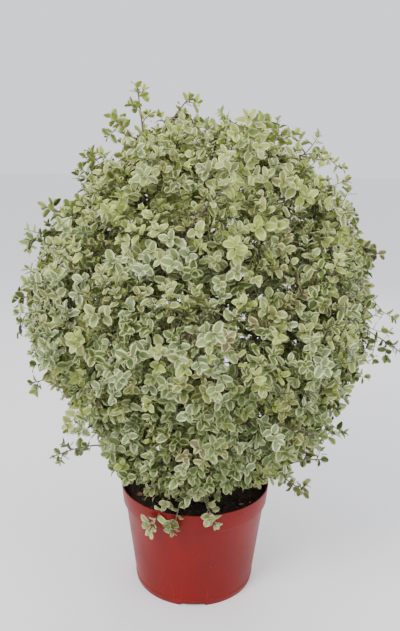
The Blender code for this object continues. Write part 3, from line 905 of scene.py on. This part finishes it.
def makeTwigs(stems, shoots, paths, fine, masses):
    material = twigFinish()
    straight = [bowed(start, end, twig["stations"], 0) for start, end in stems]
    groups = (
        (straight, twig["stemRadii"], twig["sides"]),
        (shoots + paths, twig["twigRadii"], twig["sides"]),
        (fine, twig["shootRadii"], twig["shootSides"]),
    )
    verts, faces, offset = [], [], 0
    for lines, radii, sides in groups:
        points, quads, caps = tubeArrays(lines, radii, sides)
        verts.append(points)
        faces += (quads + offset).tolist() + (caps + offset).tolist()
        offset += len(points)
    mesh = bpy.data.meshes.new("twigs")
    mesh.from_pydata(np.concatenate(verts).tolist(), [], faces)
    mesh.shade_smooth()
    piece = addPiece("twigs", mesh, [material])
    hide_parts(*[f"foliage_{mass.name}" for mass in masses])
    print("twigs", len(shoots) + len(paths), "fine shoots", len(fine), "faces", len(faces))


# Leaves: green blades with a wavy cream margin

leaf = {
    "length": 0.0200,
    "spread": (0.82, 1.15),
    "width": 0.74,  # of the length
    "rows": (0.16, 0.48, 0.82),
    "widest": 0.88,
    "blunt": 0.52,
    "margin": (0.48, 0.70),  # where the green ends, as a share of half the width
    "wave": 0.055,
    "waves": 11,
    "waveShift": 1.9,  # between the two edges
    "droop": 0.12,
    "droopSpread": (0.3, 1.7),
    "fold": 0.10,
    "kinds": 8,
    "shares": (0.13, 0.42, 0.58, 0.70),  # bright, blue, deep and olive sprays, each up to
    # below this height, sprays may be darkened as painted shade
    "paintedShadeBelow": 0.62,
    "brightAbove": 0.66,
    "paintedShadeLow": 1.7,  # share of sprays given painted shade (deep green blade, dimmed cream margin) gained per metre down
    "brightTop": 2.0,  # share of bright sprays gained per metre up
    # from the shoot's tip inwards: way back, angle from the shoot, size
    "steps": (
        (0.000, 24, 0.50),
        (0.001, 38, 0.66),
        (0.003, 50, 0.84),
        (0.006, 60, 0.96),
        (0.010, 68, 1.02),
        (0.016, 74, 1.04),
        (0.023, 78, 1.00),
        (0.032, 82, 0.96),
        (0.042, 84, 0.92),
        (0.054, 86, 0.90),
    ),
    "backMost": 0.80,
    "faceUp": 0.55,
    "jitter": 16,
    "turnJitter": 0.25,
    "leanJitter": 9,
    "spraySize": (0.88, 1.10),
    "potClear": 0.001,
    "marks": ((0.5, 0.3), (0.5, -0.3), (1.0, 0), (0.5, 0)),  # tried for room, along and across
    "patchScale": 9,
    "tan": (-0.42, 0.35),  # where the patches are below this, share of tan sprays
    "peach": (0.27, 0.45),  # below this height, share of peach margins
    "roomPast": 0.016,  # how far past the solids' box a leaf may reach
    "roughness": 0.42,
    "blades": {
        "greyGreen": (0.205, 0.270, 0.085),
        "blueGreen": (0.175, 0.245, 0.100),
        "deepGreen": (0.105, 0.155, 0.042),
        "yellowGreen": (0.320, 0.385, 0.090),
        "olive": (0.210, 0.225, 0.065),
        "tan": (0.195, 0.165, 0.080),
    },
    "margins": {
        "cream": (0.490, 0.505, 0.225),
        "paleCream": (0.560, 0.575, 0.310),
        "limeCream": (0.500, 0.560, 0.190),
        # cream margin dimmed as painted shade, for the low sprays
        "dullCream": (0.300, 0.315, 0.140),
        "peach": (0.470, 0.390, 0.220),
    },
}


def leafFinishes():
    made = []
    for name, colour in {**leaf["blades"], **leaf["margins"]}.items():
        finish = Finish(name, leaf["roughness"], Base_Color=colour, Specular_IOR_Level=0.35)
        made.append(finish.material)
    return made


def leafShape(draw):
    # across, up off the face, along; five columns: edge, green's edge, midrib, green's edge, edge
    phase = draw.uniform(0, math.tau)
    bend = leaf["droop"] * draw.uniform(*leaf["droopSpread"])
    verts = [(0, 0, 0), (0, -bend, 1.0)]
    for row in leaf["rows"]:
        half = leaf["width"] / 2 * math.sin(math.pi * row ** leaf["widest"]) ** leaf["blunt"]
        green = draw.uniform(*leaf["margin"])
        for column, side in enumerate((-1, -green, 0, green, 1)):
            shift = leaf["waveShift"] if side > 0 else 0
            wave = leaf["wave"] * math.sin(row * leaf["waves"] + phase + shift) * side**2
            fold = leaf["fold"] * abs(side) * (1 if column in (0, 4) else 0.8)
            verts.append((half * side, fold * half * 2 + wave - bend * row**2, row))
    faces, parts = [], []
    rows = len(leaf["rows"])
    for row in range(rows - 1):
        for column in range(4):
            a = 2 + row * 5 + column
            faces.append((a, a + 5, a + 6, a + 1))
            parts.append(column in (0, 3))
    for column in range(4):
        a = 2 + column
        faces.append((0, a, a + 1, a + 1))
        b = 2 + (rows - 1) * 5 + column
        faces.append((b + 1, b, 1, 1))
        parts += [column in (0, 3), column in (0, 3)]
    return np.array(verts), faces, parts


def leafPlace(point, along, turn, angle, draw):
    side = Matrix.Rotation(turn, 3, along) @ along.orthogonal().normalized()
    axis = (along * math.cos(angle) + side * math.sin(angle)).normalized()
    face = along + up * leaf["faceUp"]
    face = (face - axis * face.dot(axis)).normalized()
    roll = Matrix.Rotation(math.radians(draw.gauss(0, leaf["jitter"])), 3, axis)
    face = roll @ face
    return np.array((face.cross(axis), face, axis)), np.array(point)


def tintsOf(tip, draw):
    # one choice of blade and margin for a whole spray
    patch = noise.noise(tip * leaf["patchScale"])
    height = tip.z
    (peachBelow, peachShare), (tanBelow, tanShare) = leaf["peach"], leaf["tan"]
    if height < peachBelow and draw.random() < peachShare:
        return "greyGreen", "peach"
    if patch < tanBelow and draw.random() < tanShare:
        return "tan", "cream"
    # painted shade: low sprays get a deep green blade and a dimmed cream margin
    if draw.random() < (leaf["paintedShadeBelow"] - height) * leaf["paintedShadeLow"]:
        return "deepGreen", "dullCream"
    chance = draw.random()
    bright, blue, deep, olive = leaf["shares"]
    if chance < bright + max(0, height - leaf["brightAbove"]) * leaf["brightTop"]:
        return "yellowGreen", draw.choice(("limeCream", "paleCream"))
    if chance < blue:
        return "blueGreen", "paleCream"
    if chance < deep:
        return "deepGreen", "cream"
    if chance < olive:
        return "olive", "cream"
    return "greyGreen", draw.choice(("cream", "paleCream"))


def sprayLeaves(path, draw, found):
    lengths = [(b - a).length for a, b in zip(path, path[1:])]
    total = sum(lengths)
    blade, margin = tintsOf(path[-1], draw)
    turn = draw.uniform(0, math.tau)
    size = draw.uniform(*leaf["spraySize"])
    for back, angle, scale in leaf["steps"]:
        if back > total * leaf["backMost"]:
            break
        left, index = back, len(lengths) - 1
        while left > lengths[index]:
            left -= lengths[index]
            index -= 1
        point = path[index + 1].lerp(path[index], left / lengths[index])
        along = (path[index + 1] - path[index]).normalized()
        turn += goldenAngle + draw.uniform(-leaf["turnJitter"], leaf["turnJitter"])
        lean = math.radians(angle + draw.uniform(-leaf["leanJitter"], leaf["leanJitter"]))
        turned, root = leafPlace(point, along, turn, lean, draw)
        length = leaf["length"] * scale * size * draw.uniform(*leaf["spread"])
        found.append((root, turned, length, blade, margin, draw.randrange(leaf["kinds"])))


def leafMesh(name, leaves, shapes):
    tints = list(leaf["blades"]) + list(leaf["margins"])
    verts, faces, tones, offset = [], [], [], 0
    for kind, (shape, corners, parts) in enumerate(shapes):
        own = [item for item in leaves if item[5] == kind]
        if not own:
            continue
        roots = np.array([item[0] for item in own])
        turned = np.array([item[1] for item in own])
        lengths = np.array([item[2] for item in own])
        local = shape[None] * lengths[:, None, None]
        placed = roots[:, None, :] + np.einsum("nvk,nkj->nvj", local, turned)
        verts.append(placed.reshape(-1, 3))
        corners = np.array(corners)
        starts = offset + np.arange(len(own)) * len(shape)
        faces.append((corners[None] + starts[:, None, None]).reshape(-1, 4))
        blade = np.array([tints.index(item[3]) for item in own])
        margin = np.array([tints.index(item[4]) for item in own])
        edge = np.array(parts)
        tones.append(np.where(edge[None], margin[:, None], blade[:, None]).ravel())
        offset += len(own) * len(shape)
    faces = [face[:3] if face[2] == face[3] else face for face in np.concatenate(faces).tolist()]
    mesh = bpy.data.meshes.new(name)
    mesh.from_pydata(np.concatenate(verts).tolist(), [], faces)
    mesh.polygons.foreach_set("material_index", np.concatenate(tones).astype(np.int32))
    mesh.shade_smooth()
    return mesh


def makeLeaves(shoots, paths, fine, masses):
    draw = random.Random(crown["seed"] + 11)
    shapes = [leafShape(draw) for _ in range(leaf["kinds"])]
    finishes = leafFinishes()
    found = {mass.name: [] for mass in masses}
    for path in shoots + paths + fine:
        owner = min(masses, key=lambda mass: (mass.site - path[-1]).length)
        sprayLeaves(path, draw, found[owner.name])
    groups = {}
    for mass in masses:
        side = "front" if mass.site.y < 0 else "back"
        groups.setdefault(f"{mass.name.split('_')[0]}_{side}", []).append(mass.name)
    low, high = np.array(cadBox[0]) - leaf["roomPast"], np.array(cadBox[1]) + leaf["roomPast"]
    for group, own in groups.items():
        kept = []
        for item in [item for name in own for item in found[name]]:
            root, turned, length = item[:3]
            marks = [turned[2] * along + turned[0] * across for along, across in leaf["marks"]]
            spots = root + np.array(marks) * length
            clear = not hitsPot(spots, leaf["potClear"]).any()
            if clear and (spots > low).all() and (spots < high).all():
                kept.append(item)
        mesh = leafMesh(f"leaves_{group}", kept, shapes)
        piece = addPiece(f"leaves_{group}", mesh, finishes)
        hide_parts(*[f"foliage_{name}" for name in own])
        triangles = sum(len(face.vertices) - 2 for face in mesh.polygons)
        print("leaves", group, len(kept), "triangles", triangles)


# Soil with its bits and dropped leaves

soil = {
    "rings": 46,
    "segments": 150,
    "lumps": 0.0042,
    "lumpScale": 55,
    "lumpFractal": (0.8, 2.1, 4),
    "mound": 0.005,
    "moundRadius": 0.09,
    "edgeDrop": 0.003,
    "edgeFrom": 0.13,
    "edgeWidth": 0.02,
    "skirt": 0.004,
    "bitsReach": 0.140,
    "bitsTilt": 0.5,
    "bitsRough": 0.12,
    "chips": 420,
    "chipSize": (0.0015, 0.0060),
    "chipFlat": 0.35,
    "grit": 90,
    "gritSize": (0.0010, 0.0022),
    "gritFlat": 0.9,
    "dropped": 26,
    "droppedReach": (0.03, 0.135),
    "droppedTilt": (0.18, 0.25),  # of the leaf's length, of its face
    "droppedLift": 0.004,
    "droppedSize": (0.6, 1.0),
    "dark": (0.010, 0.008, 0.006),
    "brown": (0.045, 0.030, 0.020),
    "chip": (0.085, 0.050, 0.030),
    "pale": (0.50, 0.46, 0.38),
    "deadLeaf": (0.30, 0.17, 0.085),
    "deadDark": (0.12, 0.065, 0.035),
}


def soilHeight(x, y):
    point = Vector((x, y, 0.3)) * soil["lumpScale"]
    lumps = soil["lumps"] * noise.fractal(point, *soil["lumpFractal"])
    radius = math.hypot(x, y)
    mound = soil["mound"] * max(0, 1 - radius / soil["moundRadius"])
    edge = soil["edgeDrop"] * max(0, radius - soil["edgeFrom"]) / soil["edgeWidth"]
    return soilTop + lumps + mound - edge


def soilFinish():
    finish = Finish("soilMix", 0.95, Specular_IOR_Level=0.2)
    place = finish.place()
    crumbs = finish.noise(330, 6, 0.7, vector=place)
    colour = finish.ramp(crumbs, (0.36, soil["dark"]), (0.60, soil["brown"]), (0.76, soil["chip"]))
    fleck = finish.between(finish.noise(520, 1, vector=place), 0.74, 0.78)
    finish.set("Base Color", finish.mix(fleck * 0.5, colour, soil["pale"]))
    finish.set("Roughness", finish.between(crumbs, 0.3, 0.7, 1.0, 0.8))
    finish.bump(crumbs, 0.0012, 0.9)
    return finish.material


def makeSoil():
    floor, base = pot["floor"] + cadGap, pot["collarBase"]
    clear = pot["wall"] + cadGap
    top = collarRadius(soilTop) - clear
    profile = [(0, floor), (wallRadius(floor) - clear, floor), (wallRadius(base) - clear, base)]
    profile.append((top, soilTop - soil["skirt"]))
    profile += [(top * (1 - step / soil["rings"]), soilTop) for step in range(1, soil["rings"] + 1)]
    bm = spinProfile(profile, soil["segments"])
    for vert in bm.verts:
        if vert.co.z > soilTop - soil["skirt"] / 4:
            vert.co.z = soilHeight(vert.co.x, vert.co.y)
    piece = addPiece("soil_top", finishMesh("soil_top", bm, 60), [soilFinish()])
    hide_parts("soil")
    print("soil", len(piece.data.polygons), "faces")


def addBits(bm, draw, count, sizes, flat):
    for _ in range(count):
        radius, turn = soil["bitsReach"] * math.sqrt(draw.random()), draw.uniform(0, math.tau)
        x, y = radius * math.cos(turn), radius * math.sin(turn)
        size = draw.uniform(*sizes)
        spin = Matrix.Rotation(draw.uniform(0, math.tau), 4, "Z")
        tilt = spin @ Matrix.Rotation(draw.gauss(0, soil["bitsTilt"]), 4, "X")
        shape = Matrix.Diagonal((size, size * draw.uniform(0.35, 0.9), size * flat, 1))
        place = Matrix.Translation((x, y, soilHeight(x, y) + size * 0.2)) @ tilt @ shape
        made = bmesh.ops.create_icosphere(bm, subdivisions=1, radius=1, matrix=place)
        for vert in made["verts"]:
            shift = Vector((draw.gauss(0, 1), draw.gauss(0, 1), draw.gauss(0, 1)))
            vert.co += shift * size * soil["bitsRough"]


def makeBits():
    draw = random.Random(crown["seed"] + 21)
    chips, grit = bmesh.new(), bmesh.new()
    addBits(chips, draw, soil["chips"], soil["chipSize"], soil["chipFlat"])
    addBits(grit, draw, soil["grit"], soil["gritSize"], soil["gritFlat"])
    chip = Finish("barkChips", 0.9)
    tone = chip.noise(200, 3)
    chip.set("Base Color", chip.ramp(tone, (0.35, soil["dark"]), (0.65, soil["chip"])))
    addPiece("soil_chips", finishMesh("soil_chips", chips, 20), [chip.material])
    pearl = Finish("grit", 0.85)
    tone = pearl.noise(300, 2)
    pearl.set("Base Color", pearl.ramp(tone, (0.3, soil["brown"]), (0.7, soil["pale"])))
    addPiece("soil_grit", finishMesh("soil_grit", grit, 20), [pearl.material])
    print("bits", soil["chips"], "chips", soil["grit"], "grit")


def makeDropped():
    draw = random.Random(crown["seed"] + 31)
    shapes = [leafShape(draw) for _ in range(leaf["kinds"])]
    found = []
    axisTilt, faceTilt = soil["droppedTilt"]
    for _ in range(soil["dropped"]):
        radius, turn = draw.uniform(*soil["droppedReach"]), draw.uniform(0, math.tau)
        x, y = radius * math.cos(turn), radius * math.sin(turn)
        axis = Vector((draw.gauss(0, 1), draw.gauss(0, 1), draw.gauss(0, axisTilt))).normalized()
        face = (up + Vector((draw.gauss(0, faceTilt), draw.gauss(0, faceTilt), 0))).normalized()
        face = (face - axis * face.dot(axis)).normalized()
        place = np.array((face.cross(axis), face, axis))
        root = np.array((x, y, soilHeight(x, y) + soil["droppedLift"]))
        length = leaf["length"] * draw.uniform(*soil["droppedSize"])
        found.append((root, place, length, "tan", "peach", draw.randrange(leaf["kinds"])))
    mesh = leafMesh("dropped_leaves", found, shapes)
    dead = Finish("deadLeaf", 0.75)
    tone = dead.noise(120, 4)
    dead.set("Base Color", dead.ramp(tone, (0.35, soil["deadDark"]), (0.65, soil["deadLeaf"])))
    # one brown covers blade and margin
    mesh.polygons.foreach_set("material_index", np.zeros(len(mesh.polygons), dtype=np.int32))
    addPiece("dropped_leaves", mesh, [dead.material])
    print("dropped leaves", len(found))


# Stage, light and camera

stage = {
    "floorSize": 30,
    "floorColour": (0.90, 0.90, 0.90),
    "worldColour": (0.93, 0.94, 1.0),
    "worldStrength": 1.3,
    # name: place, aim, size, watts, colour
    "lights": {
        "key": ((-1.3, -1.9, 2.5), (0, 0, 0.5), 1.2, 78, (1.0, 0.985, 0.96)),
        "fill": ((2.1, -1.2, 1.4), (0, 0, 0.5), 1.8, 22, (0.96, 0.98, 1.0)),
        "back": ((0.6, 2.2, 2.2), (0, 0, 0.6), 1.8, 22, (1.0, 1.0, 1.0)),
    },
}
camera = {
    "place": (0.0055, -1.2661, 0.884),
    "pitch": 13.708,
    "roll": 0.818,
    "lens": 37.16,
    "sensor": 36,
}


def makeStage():
    bm = bmesh.new()
    bmesh.ops.create_grid(bm, x_segments=1, y_segments=1, size=stage["floorSize"])
    floor = bpy.data.objects.new("floor", finishMesh("floor", bm))
    floor.data.materials.append(Finish("floorWhite", 0.8, Base_Color=stage["floorColour"]).material)
    bpy.context.scene.collection.objects.link(floor)
    world = bpy.data.worlds.new("studio")
    world.use_nodes = True
    background = world.node_tree.nodes["Background"]
    background.inputs["Color"].default_value = (*stage["worldColour"], 1)
    background.inputs["Strength"].default_value = stage["worldStrength"]
    bpy.context.scene.world = world
    for name, (place, aim, size, watts, colour) in stage["lights"].items():
        light = bpy.data.lights.new(name, "AREA")
        light.shape = "DISK"
        light.size = size
        light.energy = watts
        light.color = colour
        lamp = bpy.data.objects.new(name, light)
        lamp.location = place
        lamp.rotation_euler = (Vector(aim) - Vector(place)).to_track_quat("-Z", "Y").to_euler()
        bpy.context.scene.collection.objects.link(lamp)
    print("stage", len(stage["lights"]), "lights")


def makeCamera():
    lens = bpy.data.cameras.new("camera")
    lens.sensor_width = camera["sensor"]
    lens.lens = camera["lens"]
    made = bpy.data.objects.new("camera", lens)
    pitch = Matrix.Rotation(math.radians(90 - camera["pitch"]), 4, "X")
    roll = Matrix.Rotation(math.radians(camera["roll"]), 4, "Z")
    made.matrix_world = Matrix.Translation(camera["place"]) @ pitch @ roll
    bpy.context.scene.collection.objects.link(made)
    bpy.context.scene.camera = made


makeStage()
makeCamera()
makePot()
makeSoil()
makeBits()
makeDropped()
sites, masses = makeMasses()
boughs = makeBoughs(sites, masses)
barkMaterial = barkFinish()
makeTrunk(barkMaterial)
makeBoughMesh(boughs, barkMaterial)
stems, shoots, paths = mainTwigs(masses, boughs)
fine = fineShoots(shoots + paths)
makeTwigs(stems, shoots, paths, fine, masses)
makeLeaves(shoots, paths, fine, masses)
